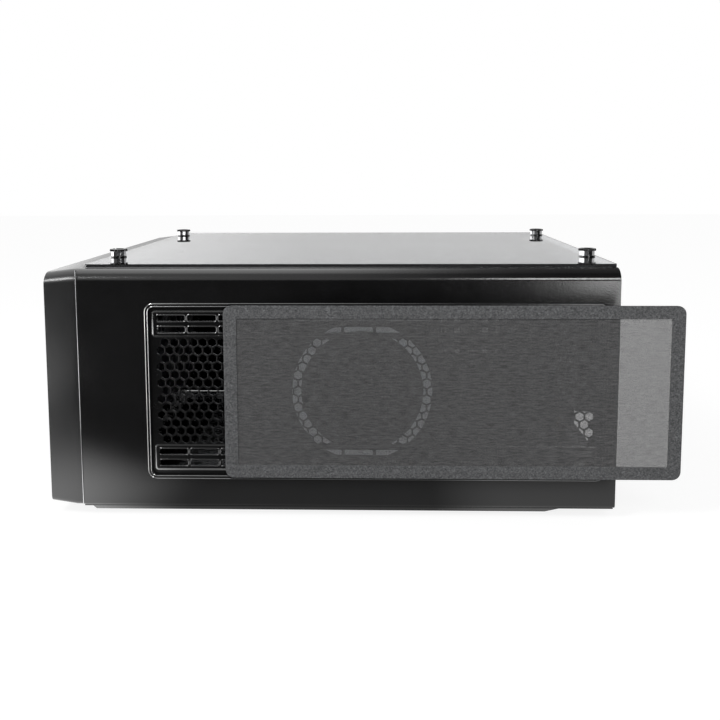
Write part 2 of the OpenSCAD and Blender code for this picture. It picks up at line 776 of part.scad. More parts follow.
// A fan stands on the plane Z = 0 and blows along +Z, with its light ring at Z = 0
module fan_frame() {
    boss_h = 5;
    color("#0e0e10")
    difference() {
        union() {
            linear_extrude(fan_t) difference() {
                rounded(fan_w, fan_w, 6);
                circle(d = duct_d, $fn = 96);
            }
            translate([0, 0, fan_t - 3]) linear_extrude(3) {
                circle(d = hub_d - 2);
                difference() {
                    for (a = [0 : 45 : 135]) rotate(a) square([duct_d + 1, 4], center = true);
                    circle(d = hub_d - 4);
                }
            }
            translate([0, 0, fan_t - 3 - boss_h]) cylinder(d = 8, h = boss_h);
        }
        translate([0, 0, -1]) cylinder(d = ring_d + 0.2, h = ring_t + 1, $fn = 96);
        for (a = [-1, 1], b = [-1, 1])
            translate([a * fan_hole_pitch / 2, b * fan_hole_pitch / 2, -1])
                cylinder(d = fan_hole_d, h = fan_t + 2);
        translate([0, 0, fan_t - 3 - boss_h - 1]) cylinder(d = 3.1, h = boss_h + 1);
    }
}
module fan_rotor() {
    hub_z0 = ring_t + 1;
    hub_h = fan_t - 3 - 2 - hub_z0;
    blade_h = hub_h - 2;
    color("#1a1b1e") {
        difference() {
            translate([0, 0, hub_z0]) cylinder(d = hub_d, h = hub_h);
            translate([0, 0, hub_z0 + 2]) cylinder(d = hub_d - 5, h = hub_h);
        }
        translate([0, 0, hub_z0 + 2]) cylinder(d = 3, h = hub_h);
        for (i = [0 : blade_count - 1])
            rotate(i * 360 / blade_count) intersection() {
                translate([(hub_d + duct_d) / 4, 0, hub_z0 + 1 + blade_h / 2]) rotate([34, 0, 0])
                    cube([duct_d / 2, 40, 1.8], center = true);
                translate([0, 0, hub_z0 + 1]) difference() {
                    cylinder(d = duct_d - 3, h = blade_h);
                    translate([0, 0, -1]) cylinder(d = hub_d - 1, h = blade_h + 2);
                }
            }
    }
}
module light_ring() {
    linear_extrude(ring_t - gap) difference() {
        circle(d = ring_d, $fn = 96);
        circle(d = ring_d - 2 * ring_w, $fn = 96);
    }
}
module at_top_fan() {
    translate([top_fan_x, inner_y, vent_z]) rotate([-90, 0, 0]) children();
}
module at_rear_fan() {
    translate([rear_x, rear_fan_y, rear_fan_z]) rotate([0, -90, 0]) children();
}
module at_front_fan(i) {
    translate([plate_x + sheet, front_fan_ys[i], front_fan_z]) rotate([0, 90, 0]) children();
}
module light_rings() {
    color("#d9dde0") {
        at_top_fan() light_ring();
        at_rear_fan() light_ring();
        for (i = [0 : 2]) at_front_fan(i) light_ring();
    }
}

// Self-tapping fan screws, with the head outside the sheet
module fan_screw_set() {
    for (a = [-1, 1], b = [-1, 1])
        translate([a * fan_hole_pitch / 2, b * fan_hole_pitch / 2, -sheet]) {
            translate([0, 0, -screw_head_h]) cylinder(d = screw_head_d, h = screw_head_h, $fn = 24);
            cylinder(d = fan_hole_d - 0.4, h = sheet + 7, $fn = 24);
        }
}
module fan_screws() {
    color("#3a3a3e") {
        at_top_fan() fan_screw_set();
        at_rear_fan() fan_screw_set();
        for (i = [0 : 2]) at_front_fan(i) fan_screw_set();
    }
}

top_cover();
top_vent_sheet();
filter_border();
filter_mesh();
glass_panel();
glass_grommets();
glass_posts();
glass_thumbscrew(0, 0);  // glass_thumbscrew_1
glass_thumbscrew(1, 0);  // glass_thumbscrew_2
glass_thumbscrew(0, 1);  // glass_thumbscrew_3
glass_thumbscrew(1, 1);  // glass_thumbscrew_4
side_panel();
rear_thumbscrew(0);  // rear_thumbscrew_1
rear_thumbscrew(1);  // rear_thumbscrew_2
front_panel();
front_grille();
power_button();
reset_button();
io_board();
front_plate();
rear_panel();
slot_covers();
motherboard_tray();
standoffs();
cable_grommets();
psu_shroud();
drive_cage();
bottom_plate();
psu_filter();
feet();
foot_pads();
at_top_fan() fan_frame();  // top_fan_frame
at_top_fan() fan_rotor();  // top_fan_rotor
at_rear_fan() fan_frame();  // rear_fan_frame
at_rear_fan() fan_rotor();  // rear_fan_rotor
at_front_fan(0) fan_frame();  // front_fan_1_frame
at_front_fan(0) fan_rotor();  // front_fan_1_rotor
at_front_fan(1) fan_frame();  // front_fan_2_frame
at_front_fan(1) fan_rotor();  // front_fan_2_rotor
at_front_fan(2) fan_frame();  // front_fan_3_frame
at_front_fan(2) fan_rotor();  // front_fan_3_rotor
light_rings();
fan_screws();
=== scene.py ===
import json
import math

import bmesh
import bpy
from mathutils import Matrix, Vector


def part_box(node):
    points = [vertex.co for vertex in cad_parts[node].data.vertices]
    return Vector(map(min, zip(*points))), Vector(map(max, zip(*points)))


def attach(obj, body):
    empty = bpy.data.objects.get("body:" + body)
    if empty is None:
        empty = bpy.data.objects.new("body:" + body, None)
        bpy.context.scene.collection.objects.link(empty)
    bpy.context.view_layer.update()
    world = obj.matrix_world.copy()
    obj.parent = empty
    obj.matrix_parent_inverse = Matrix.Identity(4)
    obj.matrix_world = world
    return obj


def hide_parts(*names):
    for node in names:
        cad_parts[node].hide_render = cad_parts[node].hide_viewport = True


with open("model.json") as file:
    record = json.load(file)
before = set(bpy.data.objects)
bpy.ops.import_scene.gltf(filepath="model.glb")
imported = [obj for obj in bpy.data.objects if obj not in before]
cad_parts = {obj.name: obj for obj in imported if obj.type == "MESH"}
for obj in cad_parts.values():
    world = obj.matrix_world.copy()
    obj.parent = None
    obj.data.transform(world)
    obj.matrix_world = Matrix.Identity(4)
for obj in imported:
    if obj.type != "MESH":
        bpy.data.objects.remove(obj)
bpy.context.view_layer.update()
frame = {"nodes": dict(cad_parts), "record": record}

scene = bpy.context.scene
scene.view_settings.view_transform = "Standard"
bodyOf = {node: body for body, nodes in frame["record"]["behaviour"]["bodies"].items() for node in nodes}
slotOf = {part["node"]: part["material_slot"] for part in frame["record"]["subparts"]}
print("frame loaded:", len(bodyOf), "nodes")


# camera, fitted to the photograph

view = {
    "place": (0.0442, -1.11376, 0.29212),
    "pitch": 7.49,               # degrees below the horizon
    "yaw": 1.99,                 # degrees towards the front of the case
    "roll": -0.22,
    "focalPixels": 1062.34,
    "imagePixels": 720,
    "centre": (346.04, 310.54),  # where the lens axis meets the picture
}


def addCamera():
    data = bpy.data.cameras.new("photoCamera")
    camera = bpy.data.objects.new("photoCamera", data)
    scene.collection.objects.link(camera)
    turn = Matrix.Rotation(math.radians(view["yaw"]), 4, "Z")
    turn = turn @ Matrix.Rotation(math.radians(90 - view["pitch"]), 4, "X")
    turn = turn @ Matrix.Rotation(math.radians(view["roll"]), 4, "Z")
    camera.matrix_world = Matrix.Translation(view["place"]) @ turn
    half = view["imagePixels"] / 2
    data.lens = data.sensor_width * view["focalPixels"] / view["imagePixels"]
    data.shift_x = (half - view["centre"][0]) / view["imagePixels"]
    data.shift_y = (view["centre"][1] - half) / view["imagePixels"]
    scene.camera = camera


addCamera()
print("camera placed")


# node helpers

def addNode(tree, kind, **settings):
    node = tree.nodes.new(kind)
    for name, value in settings.items():
        if name in node.inputs:
            node.inputs[name].default_value = value
        else:
            setattr(node, name, value)
    return node


def startGroup(name, inputs, outputs):
    tree = bpy.data.node_groups.new(name, "ShaderNodeTree")
    for label, value in inputs.items():
        socket = tree.interface.new_socket(label, in_out="INPUT", socket_type="NodeSocketFloat")
        socket.default_value = value
    for label in outputs:
        tree.interface.new_socket(label, in_out="OUTPUT", socket_type="NodeSocketFloat")
    return tree, addNode(tree, "NodeGroupInput"), addNode(tree, "NodeGroupOutput")


# speckle of a textured coat: a height for the bump and a tone between 0 and 1
# a Stretch below 1 draws the tone's mottle out along X

def makeSpeckleGroup():
    inputs = {"Scale": 1500.0, "Mottle": 60.0, "Stretch": 1.0}
    tree, source, target = startGroup("coatSpeckle", inputs, ["Height", "Tone"])
    place = addNode(tree, "ShaderNodeTexCoord")
    apart = addNode(tree, "ShaderNodeSeparateXYZ")
    along = addNode(tree, "ShaderNodeMath", operation="MULTIPLY")
    joined = addNode(tree, "ShaderNodeCombineXYZ")
    grain = addNode(tree, "ShaderNodeTexNoise", Detail=2.0, Roughness=0.6)
    beads = addNode(tree, "ShaderNodeTexVoronoi")
    cloud = addNode(tree, "ShaderNodeTexNoise", Detail=3.0)
    height = addNode(tree, "ShaderNodeMath", operation="ADD")
    tone = addNode(tree, "ShaderNodeMath", operation="MULTIPLY")
    link = tree.links.new
    link(place.outputs["Object"], apart.inputs[0])
    link(apart.outputs["X"], along.inputs[0])
    link(source.outputs["Stretch"], along.inputs[1])
    link(along.outputs[0], joined.inputs["X"])
    link(apart.outputs["Y"], joined.inputs["Y"])
    link(apart.outputs["Z"], joined.inputs["Z"])
    for texture, scale in ((grain, "Scale"), (beads, "Scale"), (cloud, "Mottle")):
        link(joined.outputs[0] if texture is cloud else place.outputs["Object"], texture.inputs["Vector"])
        link(source.outputs[scale], texture.inputs["Scale"])
    link(grain.outputs[0], height.inputs[0])
    link(beads.outputs["Distance"], height.inputs[1])
    link(grain.outputs[0], tone.inputs[0])
    link(cloud.outputs[0], tone.inputs[1])
    link(height.outputs[0], target.inputs["Height"])
    link(tone.outputs[0], target.inputs["Tone"])
    return tree


# fine dust: small flecks, denser in some places than in others

def makeDustGroup():
    tree, source, target = startGroup("dust", {"Amount": 0.2, "Flecks": 900.0}, ["Mask"])
    place = addNode(tree, "ShaderNodeTexCoord")
    flecks = addNode(tree, "ShaderNodeTexNoise", Detail=4.0, Roughness=0.7)
    haze = addNode(tree, "ShaderNodeTexNoise", Scale=14.0, Detail=5.0)
    sharpen = addNode(tree, "ShaderNodeMapRange", **{"From Min": 0.62, "From Max": 0.78})
    spread = addNode(tree, "ShaderNodeMath", operation="MULTIPLY")
    amount = addNode(tree, "ShaderNodeMath", operation="MULTIPLY", use_clamp=True)
    link = tree.links.new
    link(place.outputs["Object"], flecks.inputs["Vector"])
    link(place.outputs["Object"], haze.inputs["Vector"])
    link(source.outputs["Flecks"], flecks.inputs["Scale"])
    link(flecks.outputs[0], sharpen.inputs["Value"])
    link(sharpen.outputs[0], spread.inputs[0])
    link(haze.outputs[0], spread.inputs[1])
    link(spread.outputs[0], amount.inputs[0])
    link(source.outputs["Amount"], amount.inputs[1])
    link(amount.outputs[0], target.inputs["Mask"])
    return tree


# scratches and handling marks: a mask of thin, stretched streaks

def makeScuffGroup():
    tree, source, target = startGroup("scuffs", {"Amount": 0.3}, ["Mask"])
    place = addNode(tree, "ShaderNodeTexCoord")
    turn = addNode(tree, "ShaderNodeMapping", Rotation=(0.3, 0.5, 0.2), Scale=(1.0, 14.0, 9.0))
    streak = addNode(tree, "ShaderNodeTexNoise", Scale=24.0, Detail=6.0, Roughness=0.65)
    sharpen = addNode(tree, "ShaderNodeMapRange", **{"From Min": 0.66, "From Max": 0.72})
    amount = addNode(tree, "ShaderNodeMath", operation="MULTIPLY", use_clamp=True)
    link = tree.links.new
    link(place.outputs["Object"], turn.inputs["Vector"])
    link(turn.outputs[0], streak.inputs["Vector"])
    link(streak.outputs[0], sharpen.inputs["Value"])
    link(sharpen.outputs[0], amount.inputs[0])
    link(source.outputs["Amount"], amount.inputs[1])
    link(amount.outputs[0], target.inputs["Mask"])
    return tree


speckleGroup = makeSpeckleGroup()
dustGroup = makeDustGroup()
scuffGroup = makeScuffGroup()


# one finish: two tones of a colour, a bumpy coat, dust and scuffs that change the roughness

plainCoat = {                           # what a finish has where its own dictionary says nothing
    "mottle": 60.0, "stretch": 1.0,
    "dust": 0.15, "dustColour": (0.16, 0.155, 0.15),
    "scuff": 0.2, "scuffRough": 0.12,
    "depth": 0.00006,                   # of the bump, in metres
    "shader": {},
}


def makeFinish(name, own):
    look = {**plainCoat, **own}
    material = bpy.data.materials.new(name)
    material.use_nodes = True
    tree = material.node_tree
    shader = tree.nodes["Principled BSDF"]
    speckle = addNode(tree, "ShaderNodeGroup", node_tree=speckleGroup, Scale=look["grain"],
                      Mottle=look["mottle"], Stretch=look["stretch"])
    dust = addNode(tree, "ShaderNodeGroup", node_tree=dustGroup, Amount=look["dust"])
    scuff = addNode(tree, "ShaderNodeGroup", node_tree=scuffGroup, Amount=look["scuff"])
    tones = addNode(tree, "ShaderNodeMix", data_type="RGBA", A=(*look["dark"], 1), B=(*look["light"], 1))
    dusty = addNode(tree, "ShaderNodeMix", data_type="RGBA", B=(*look["dustColour"], 1))
    rough = addNode(tree, "ShaderNodeMapRange", **dict(zip(("To Min", "To Max"), look["rough"])))
    marks = addNode(tree, "ShaderNodeMath", operation="MULTIPLY_ADD")
    marks.inputs[1].default_value = look["scuffRough"]
    bump = addNode(tree, "ShaderNodeBump", Strength=look["bump"], Distance=look["depth"])
    link = tree.links.new
    link(speckle.outputs["Tone"], tones.inputs["Factor"])
    link(tones.outputs["Result"], dusty.inputs["A"])
    link(dust.outputs["Mask"], dusty.inputs["Factor"])
    link(dusty.outputs["Result"], shader.inputs["Base Color"])
    link(speckle.outputs["Tone"], rough.inputs["Value"])
    link(scuff.outputs["Mask"], marks.inputs[0])
    link(rough.outputs[0], marks.inputs[2])
    link(marks.outputs[0], shader.inputs["Roughness"])
    link(speckle.outputs["Height"], bump.inputs["Height"])
    link(bump.outputs[0], shader.inputs["Normal"])
    for socket, value in look["shader"].items():
        shader.inputs[socket].default_value = value
    return material


finishes = {
    "powder_steel": {"dark": (0.0008, 0.0008, 0.0009), "light": (0.008, 0.008, 0.009), "grain": 760.0,
                     "rough": (0.15, 0.27), "bump": 0.6, "dust": 0.03,
                     "shader": {"Specular IOR Level": 1.0, "Coat Weight": 0.8, "Coat Roughness": 0.14}},
    "front_plastic": {"dark": (0.004, 0.004, 0.0045), "light": (0.02, 0.02, 0.021), "grain": 2200.0,
                      "rough": (0.3, 0.42), "bump": 0.25, "dust": 0.06,
                      "shader": {"Specular IOR Level": 0.9, "Coat Weight": 0.3, "Coat Roughness": 0.25}},
    "inner_steel": {"dark": (0.0012, 0.0012, 0.0014), "light": (0.008, 0.008, 0.009), "grain": 1300.0,
                    "rough": (0.22, 0.34), "bump": 0.25, "dust": 0.08,
                    "shader": {"Specular IOR Level": 0.8}},
    "magnet_border": {"dark": (0.0, 0.0, 0.0), "light": (0.54, 0.55, 0.565), "grain": 900.0,
                      "mottle": 900.0, "stretch": 0.8, "rough": (0.5, 0.65), "bump": 0.7, "dust": 0.06},
    "filter_cloth": {"dark": (0.03, 0.03, 0.03), "light": (0.55, 0.55, 0.557), "grain": 900.0,
                     "mottle": 760.0, "stretch": 0.16, "rough": (0.4, 0.6), "bump": 0.3, "dust": 0.08},
    "black_metal": {"dark": (0.002, 0.002, 0.002), "light": (0.01, 0.01, 0.011), "grain": 2600.0,
                    "rough": (0.12, 0.22), "bump": 0.12,
                    "shader": {"Specular IOR Level": 1.0, "Coat Weight": 0.8, "Coat Roughness": 0.08}},
    "fan_plastic": {"dark": (0.003, 0.003, 0.0035), "light": (0.014, 0.014, 0.015), "grain": 2000.0,
                    "rough": (0.3, 0.45), "bump": 0.25, "dust": 0.15},
    # frosted_ring: its emission is a painted glow, brightness that stands in for light reaching the ring through the
    # top vent; the ring is no lamp
    "frosted_ring": {"dark": (0.8, 0.82, 0.84), "light": (0.95, 0.96, 0.97), "grain": 1200.0,
                     "rough": (0.35, 0.5), "bump": 0.15, "dust": 0.1,
                     "shader": {"Subsurface Weight": 0.3, "Subsurface Scale": 0.004,
                                "Emission Color": (0.9, 0.95, 1.0, 1), "Emission Strength": 0.22}},
    "rubber_black": {"dark": (0.004, 0.004, 0.004), "light": (0.016, 0.016, 0.016), "grain": 1400.0,
                     "rough": (0.6, 0.8), "bump": 0.35, "dust": 0.3},
    "brass": {"dark": (0.5, 0.34, 0.1), "light": (0.8, 0.6, 0.25), "grain": 2500.0,
              "rough": (0.2, 0.34), "bump": 0.12, "dust": 0.05, "shader": {"Metallic": 1.0}},
    # painted highlight: bright metal on the vent frames and the lip beads, which are black steel, so that they show
    # as highlight lines
    "painted_highlight_metal": {"dark": (0.55, 0.55, 0.55), "light": (0.8, 0.8, 0.805), "grain": 1800.0,
                   "rough": (0.14, 0.24), "bump": 0.15, "dust": 0.02, "shader": {"Metallic": 1.0}},
    # dark_nickel: the thumbscrews' faceted necks, and the seam rods, whose bright metal is a painted highlight
    "dark_nickel": {"dark": (0.6, 0.6, 0.61), "light": (0.8, 0.8, 0.81), "grain": 2200.0,
                    "rough": (0.08, 0.16), "bump": 0.1, "dust": 0.02, "shader": {"Metallic": 1.0}},
    "zinc_steel": {"dark": (0.4, 0.41, 0.43), "light": (0.65, 0.66, 0.68), "grain": 2500.0,
                   "rough": (0.25, 0.38), "bump": 0.12, "dust": 0.05, "shader": {"Metallic": 1.0}},
    "board": {"dark": (0.004, 0.03, 0.015), "light": (0.01, 0.07, 0.035), "grain": 1100.0,
              "rough": (0.25, 0.4), "bump": 0.1, "dust": 0.1},
    "button_plastic": {"dark": (0.003, 0.003, 0.0035), "light": (0.012, 0.012, 0.014), "grain": 2600.0,
                       "rough": (0.12, 0.22), "bump": 0.08, "dust": 0.1},
}
materials = {name: makeFinish(name, look) for name, look in finishes.items()}


# smoked tempered glass: clear, tinted, with a little dust that only dulls the gloss

glassLook = {"tint": (0.6, 0.61, 0.63), "dust": 0.5, "rough": (0.0, 0.25), "refraction": 1.5}


def makeGlass():
    material = bpy.data.materials.new("smoked_glass")
    material.use_nodes = True
    tree = material.node_tree
    shader = tree.nodes["Principled BSDF"]
    dust = addNode(tree, "ShaderNodeGroup", node_tree=dustGroup, Amount=glassLook["dust"])
    rough = addNode(tree, "ShaderNodeMapRange", **dict(zip(("To Min", "To Max"), glassLook["rough"])))
    tree.links.new(dust.outputs["Mask"], rough.inputs["Value"])
    tree.links.new(rough.outputs[0], shader.inputs["Roughness"])
    shader.inputs["Base Color"].default_value = (*glassLook["tint"], 1)
    shader.inputs["Transmission Weight"].default_value = 1.0
    shader.inputs["IOR"].default_value = glassLook["refraction"]
    return material


materials["smoked_glass"] = makeGlass()
print("materials made:", len(materials))


# a piece's material, the record's slot that it takes and the body that it rides on

def finishPiece(piece, node, slot=None, look=None):
    slot = slot or slotOf[node]
    piece.data.materials.append(materials[look or slot])
    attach(piece, bodyOf[node])


# mesh helpers

def linkMesh(name, bm):
    mesh = bpy.data.meshes.new(name)
    bm.to_mesh(mesh)
    bm.free()
    piece = bpy.data.objects.new(name, mesh)
    scene.collection.objects.link(piece)
    return piece


def roundEdges(piece, width, angle=35):
    bevel = piece.modifiers.new("roundEdges", "BEVEL")
    bevel.limit_method = "ANGLE"
    bevel.angle_limit = math.radians(angle)
    bevel.width = width
    bevel.segments = 2
    return piece


def shadeSmooth(piece, angle=32):
    piece.data.shade_smooth()
    for edge in piece.data.edges:
        edge.use_edge_sharp = False
    bm = bmesh.new()
    bm.from_mesh(piece.data)
    for edge in bm.edges:
        if len(edge.link_faces) == 2 and edge.calc_face_angle(0) > math.radians(angle):
            edge.smooth = False
    bm.to_mesh(piece.data)
    bm.free()


def quarterTurn(bm, verts, axis):
    bmesh.ops.rotate(bm, verts=verts, cent=(0, 0, 0), matrix=Matrix.Rotation(math.radians(90), 3, axis))


def addBox(bm, size, middle):
    box = bmesh.ops.create_cube(bm, size=1)
    bmesh.ops.scale(bm, verts=box["verts"], vec=size)
    bmesh.ops.translate(bm, verts=box["verts"], vec=middle)


def addRod(bm, sides, radius, length, middle, axis=None):
    rod = bmesh.ops.create_cone(bm, cap_ends=True, segments=sides, radius1=radius, radius2=radius, depth=length)
    if axis:
        quarterTurn(bm, rod["verts"], axis)
    bmesh.ops.translate(bm, verts=rod["verts"], vec=middle)


# corners of a rounded rectangle that lies square to Y

def roundedCorners(centre, size, radius, steps, y):
    corners = []
    for quarter in range(4):
        sideX = 1 if quarter in (0, 3) else -1
        sideZ = 1 if quarter < 2 else -1
        for step in range(steps + 1):
            angle = math.radians(90 * quarter + 90 * step / steps)
            corners.append((centre[0] + sideX * (size[0] / 2 - radius) + radius * math.cos(angle), y,
                            centre[1] + sideZ * (size[1] / 2 - radius) + radius * math.sin(angle)))
    return corners


# faces from each ring of vertices to the next, and from the last to the first if closed

def joinRings(bm, rings, closed=True):
    following = rings[1:] + rings[:1] if closed else rings[1:]
    for first, second in zip(rings, following):
        for index in range(len(first)):
            after = (index + 1) % len(first)
            bm.faces.new((first[index], first[after], second[after], second[index]))


# a CAD node's shape with its doubles merged, its flat faces whole and its edges rounded

cleanUp = {"merge": 1e-6, "flatAngle": 0.5}


def dressNode(node, width, prepare=None):
    bm = bmesh.new()
    bm.from_mesh(frame["nodes"][node].data)
    bmesh.ops.remove_doubles(bm, verts=bm.verts, dist=cleanUp["merge"])
    bmesh.ops.dissolve_limit(bm, angle_limit=math.radians(cleanUp["flatAngle"]), verts=bm.verts, edges=bm.edges)
    if prepare:
        prepare(bm)
    piece = linkMesh(node + "Dressed", bm)
    shadeSmooth(piece)
    roundEdges(piece, width)
    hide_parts(node)
    finishPiece(piece, node)


edgeRadius = {
    "side_panel": 0.0004, "front_panel": 0.0008, "glass_panel": 0.0005,
    "filter_border": 0.0003, "front_plate": 0.0002, "rear_panel": 0.0002, "slot_covers": 0.0002,
    "motherboard_tray": 0.0002, "psu_shroud": 0.0002, "drive_cage": 0.0002, "bottom_plate": 0.0002,
    "psu_filter": 0.0002, "feet": 0.001, "foot_pads": 0.0004,
    "power_button": 0.0005, "reset_button": 0.0004, "io_board": 0.0002,
    "glass_posts": 0.0002, "glass_grommets": 0.0002, "standoffs": 0.0002,
    "cable_grommets": 0.0003, "light_rings": 0.0005, "fan_screws": 0.0003,
}
for fan in ("top_fan", "rear_fan", "front_fan_1", "front_fan_2", "front_fan_3"):
    edgeRadius[fan + "_frame"] = 0.0005
    edgeRadius[fan + "_rotor"] = 0.0004
for node, radius in edgeRadius.items():
    dressNode(node, radius)


# the rolled lip of the recess: a rounder edge than the other sheet edges

rolledLip = {"reach": 0.00001, "sharper": 1.0, "width": 0.00095, "segments": 5, "otherEdges": 0.0003}


def rollLip(bm):
    crown = min(vert.co.y for vert in bm.verts) + rolledLip["reach"]
    rim = [edge for edge in bm.edges
           if all(vert.co.y < crown for vert in edge.verts) and edge.calc_face_angle(0) > rolledLip["sharper"]]
    bmesh.ops.bevel(bm, geom=rim, offset=rolledLip["width"], segments=rolledLip["segments"], profile=0.5,
                    affect="EDGES", material=-1)


dressNode("top_cover", rolledLip["otherEdges"], prepare=rollLip)
print("nodes dressed:", len(edgeRadius) + 1)


# thumbscrews: knurled head, faceted neck, base and stem

knob = {
    "teeth": 40, "radius": 0.008, "cut": 0.0005, "chamfer": 0.0005, "height": 0.0072, "head": 0.002,
    "seat": 0.0082,                     # below the outer end of the CAD screw
    "steps": ((0.0016, 0.0003), (0.0006, -0.0008)),     # inset and depth of each step in the head
    "baseInset": 0.0006, "base": 0.0011, "stem": 0.002, "sides": 32,
    "neck": 0.0069, "facets": 12, "facetEdge": 0.0003, "facetAngle": 15,
    "overlap": 0.0002, "smoothAngle": 30,
}


def makeKnob(node):
    low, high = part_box(node)
    upright = node.startswith("glass")
    reach = high.z - low.z if upright else high.x - low.x
    seat = reach - knob["seat"]
    bm = bmesh.new()
    ring = bmesh.ops.create_circle(bm, segments=2 * knob["teeth"], radius=knob["radius"], cap_ends=True)
    for index, vert in enumerate(ring["verts"]):
        if index % 2:
            vert.co *= 1 - knob["cut"] / knob["radius"]
    bmesh.ops.translate(bm, verts=bm.verts, vec=(0, 0, seat + knob["height"] - knob["head"]))
    raised = bmesh.ops.extrude_face_region(bm, geom=bm.faces[:])
    lifted = [item for item in raised["geom"] if isinstance(item, bmesh.types.BMVert)]
    bmesh.ops.translate(bm, verts=lifted, vec=(0, 0, knob["head"] - knob["chamfer"]))
    cap = max(bm.faces, key=lambda one: one.calc_center_median().z)
    for inset, depth in ((knob["chamfer"], knob["chamfer"]), *knob["steps"]):
        bmesh.ops.inset_region(bm, faces=[cap], thickness=inset, depth=depth)
    addRod(bm, knob["sides"], knob["radius"] - knob["baseInset"], knob["base"], (0, 0, seat + knob["base"] / 2))
    stem = seat + knob["overlap"]
    addRod(bm, knob["sides"], knob["stem"], stem, (0, 0, stem / 2))
    neck = bmesh.new()
    length = knob["height"] - knob["head"] + knob["overlap"]
    addRod(neck, knob["facets"], knob["neck"], length, (0, 0, seat + length / 2))
    centre = (low + high) / 2
    for part in (bm, neck):
        bmesh.ops.recalc_face_normals(part, faces=part.faces)
        if not upright:
            quarterTurn(part, part.verts, "Y")
        place = (centre.x, centre.y, low.z) if upright else (low.x, centre.y, centre.z)
        bmesh.ops.translate(part, verts=part.verts, vec=place)
    piece = linkMesh(node + "Knurled", bm)
    shadeSmooth(piece, knob["smoothAngle"])
    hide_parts(node)
    finishPiece(piece, node)
    facets = roundEdges(linkMesh(node + "Neck", neck), knob["facetEdge"], knob["facetAngle"])
    finishPiece(facets, node, look="dark_nickel")


knobNodes = [f"glass_thumbscrew_{n}" for n in (1, 2, 3, 4)] + [f"rear_thumbscrew_{n}" for n in (1, 2)]
for node in knobNodes:
    makeKnob(node)
print("thumbscrews made:", len(knobNodes))


# black ground edge round the glass

glassBand = {"corner": 0.003, "steps": 6, "outer": 0.0001, "inner": 0.0004, "above": 0.0003, "below": 0.0006}


def makeGlassBand():
    low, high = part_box("glass_panel")
    centre, size = (low + high) / 2, high - low
    bottom, top = low.z + glassBand["above"], high.z - glassBand["below"]
    bm = bmesh.new()
    rings = []
    for inset, z in (("outer", bottom), ("outer", top), ("inner", top), ("inner", bottom)):
        edge = glassBand[inset]
        corners = roundedCorners(centre, (size.x - 2 * edge, size.y - 2 * edge), glassBand["corner"] - edge,
                                 glassBand["steps"], z)
        rings.append([bm.verts.new((x, y, level)) for x, level, y in corners])
    joinRings(bm, rings)
    bmesh.ops.recalc_face_normals(bm, faces=bm.faces)
    finishPiece(linkMesh("glassEdgeBand", bm), "glass_panel", slot="button_plastic")


# rubber seal under the far edge of the glass, on the bottom plate

glassSeal = {"inward": 0.0024, "outward": 0.0019, "gap": 0.0003, "depth": 0.006, "shorter": 0.004, "edge": 0.0003}


def makeGlassSeal():
    low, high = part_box("bottom_plate")
    glassLow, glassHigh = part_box("glass_panel")
    short = glassSeal["shorter"] / 2
    first = Vector((low.x + short, glassHigh.y - glassSeal["inward"], high.z - glassSeal["depth"]))
    last = Vector((high.x - short, glassHigh.y + glassSeal["outward"], glassLow.z - glassSeal["gap"]))
    bm = bmesh.new()
    addBox(bm, last - first, (first + last) / 2)
    finishPiece(roundEdges(linkMesh("glassSeal", bm), glassSeal["edge"]), "bottom_plate", slot="rubber_black")


# bright nickel rods along the top cover's rolled edges, upright in the front panel's seam, and along the shoulder's
# upper edge: their bright metal is a painted highlight on the black edges

seam = {
    "radius": 0.00042, "sides": 12, "clear": 0.0001, "smoothAngle": 40,
    "upright": 0.2, "foot": 0.002,      # length of the upright one, and its height above the cover's lower edge
    "shorter": 0.006, "outward": 0.0008, "sunk": 0.0002,
}


def makeSeamHighlightRods():
    low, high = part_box("top_cover")
    clear, radius = seam["clear"], seam["radius"]
    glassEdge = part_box("glass_panel")[0].y
    bm = bmesh.new()
    addRod(bm, seam["sides"], radius, seam["upright"],
           (low.x - clear, low.y + radius + clear, low.z + seam["foot"] + seam["upright"] / 2))
    addRod(bm, seam["sides"], radius, high.x - low.x - seam["shorter"],
           ((low.x + high.x) / 2, glassEdge - seam["outward"], high.z - seam["sunk"]), "Y")
    piece = linkMesh("seamHighlightRods", bm)
    shadeSmooth(piece, seam["smoothAngle"])
    finishPiece(piece, "top_cover", look="dark_nickel")


makeGlassBand()
makeGlassSeal()
makeSeamHighlightRods()
print("glass band, seal and seam made")


# perforated sheet of the top vent: slots and honeycomb over the whole field

vent = {
    "centre": (0.0372, 0.108), "thick": 0.001, "edge": 0.0003, "edgeAngle": 60,
    "pitch": 0.008, "web": 0.0015, "rows": 13, "columns": 46,
    "slots": 14, "slotStep": 0.02626, "slotSize": (0.0238, 0.0046), "slotCorner": 0.0012, "slotCornerSteps": 3,
    "slotRows": (0.105, 0.1245),        # distance between the two rows of a pair, for each fan size
}


def ringOfEdges(bm, corners):
    verts = [bm.verts.new(corner) for corner in corners]
    for index, vert in enumerate(verts):
        bm.edges.new((vert, verts[(index + 1) % len(verts)]))


def slotPlaces(side):
    for rowSpan in vent["slotRows"]:
        for index in range(vent["slots"]):
            along = (index - (vent["slots"] - 1) / 2) * vent["slotStep"]
            yield vent["centre"][0] + along, vent["centre"][1] + side * rowSpan / 2


